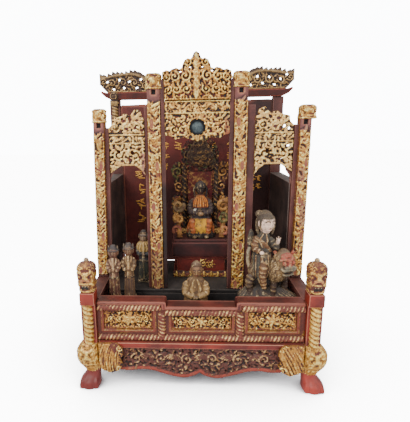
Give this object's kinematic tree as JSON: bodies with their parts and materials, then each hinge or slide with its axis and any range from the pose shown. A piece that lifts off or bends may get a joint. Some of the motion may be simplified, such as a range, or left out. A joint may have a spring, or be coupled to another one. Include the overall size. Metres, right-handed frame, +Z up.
{
  "type": "altar shrine",
  "caption": "Carved wooden household altar shrine: railed base on paw feet, open hall between carved posts, pierced crest and roof crest, seated deity on a throne and loose attendant figures.",
  "frame": {"origin": "centre of the box's underside, on the ground", "axes": "+Z up, front towards -Y, +X to the viewer's right"},
  "size_m": [0.498, 0.3875, 0.652],
  "materials": {
    "gilt_carving": "carved wood, worn gold leaf over red-brown lacquer",
    "red_lacquer": "worn orange-red lacquer on wood, rubbed at the corners",
    "dull_red_lacquer": "faded maroon-pink lacquer on wood",
    "dark_board": "soot-darkened board, dull",
    "browned_gilding": "pierced wood, browned gilding with dark edges",
    "aged_metal": "grey-green tarnished disc",
    "painted_figure": "old paint and gilding on carved wood, rubbed",
    "green_gilt": "green and gold paint on carved wood, darkened"
  },
  "bodies": {
    "root": {"attendant_inner": "painted_figure", "attendant_outer": "painted_figure", "attendant_rear": "painted_figure", "back_board": "dull_red_lacquer", "back_leg_left": "red_lacquer", "back_leg_right": "red_lacquer", "base_back_rail": "red_lacquer", "base_side_left": "dull_red_lacquer", "base_side_right": "dull_red_lacquer", "bay_frame_left": "dull_red_lacquer", "bay_frame_right": "dull_red_lacquer", "centre_frame": "dull_red_lacquer", "centre_valance": "gilt_carving", "corner_post_left": "gilt_carving", "corner_post_right": "gilt_carving", "cornice_rail": "red_lacquer", "frieze_frame": "gilt_carving", "frieze_panel_centre": "gilt_carving", "frieze_panel_left": "gilt_carving", "frieze_panel_right": "gilt_carving", "front_apron": "gilt_carving", "front_rail": "red_lacquer", "inner_post_left": "gilt_carving", "inner_post_right": "gilt_carving", "lady_on_lion": "painted_figure", "medallion": "aged_metal", "outer_post_left": "gilt_carving", "outer_post_right": "gilt_carving", "pediment": "gilt_carving", "rear_post_left": "dull_red_lacquer", "rear_post_right": "dull_red_lacquer", "roof_fretwork": "browned_gilding", "seated_deity": "painted_figure", "seated_monk": "painted_figure", "side_valance_left": "gilt_carving", "side_valance_right": "gilt_carving", "side_wall_left": "dark_board", "side_wall_right": "dark_board", "stage_floor": "dark_board", "stage_riser": "dark_board", "throne": "green_gilt", "throne_plinth": "red_lacquer", "waist_rail": "red_lacquer", "well_floor": "dark_board", "wing_bracket_left": "gilt_carving", "wing_bracket_right": "gilt_carving"}
  },
  "joints": []
}
